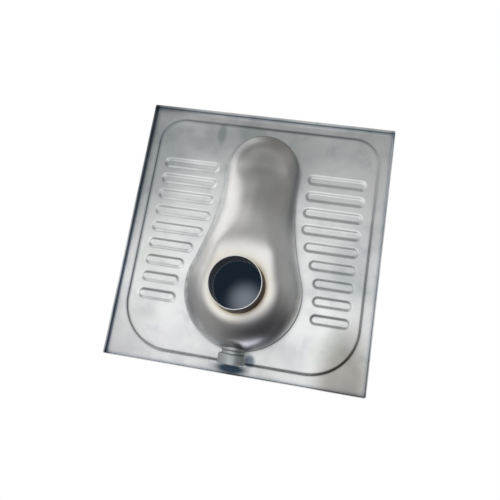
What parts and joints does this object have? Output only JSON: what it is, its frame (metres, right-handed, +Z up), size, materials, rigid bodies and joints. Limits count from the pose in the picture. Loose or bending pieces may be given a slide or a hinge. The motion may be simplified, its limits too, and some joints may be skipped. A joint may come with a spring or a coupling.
{
  "type": "squat toilet pan",
  "caption": "Pressed stainless squat pan set flush in the floor: ribbed foot areas, long drawn bowl, rear outlet spigot below and a rear flush inlet socket.",
  "frame": {"origin": "middle of the rim's outline, on the level of the rim's top face, which is the finished floor's level", "axes": "+Z up, +Y towards the wall behind the user (the outlet and flush inlet side), +X across"},
  "size_m": [0.575, 0.6, 0.1902],
  "materials": {
    "tray_sheet": "satin, brushed, faint press lines",
    "bowl_sheet": "satin, drawn, heat tint near the outlet",
    "weld_bead": "ground weld, straw and brown tint",
    "outlet_tube": "satin tube, bright cut edge",
    "spreader_sheet": "satin",
    "fitting": "matt, pickled"
  },
  "bodies": {
    "root": {"tread_tray": "tray_sheet", "bowl": "bowl_sheet", "bowl_seam_weld": "weld_bead", "outlet_spigot": "outlet_tube", "outlet_weld": "weld_bead", "flush_spreader": "spreader_sheet", "inlet_nipple": "fitting", "inlet_weld": "weld_bead", "inlet_socket": "fitting"}
  },
  "joints": []
}
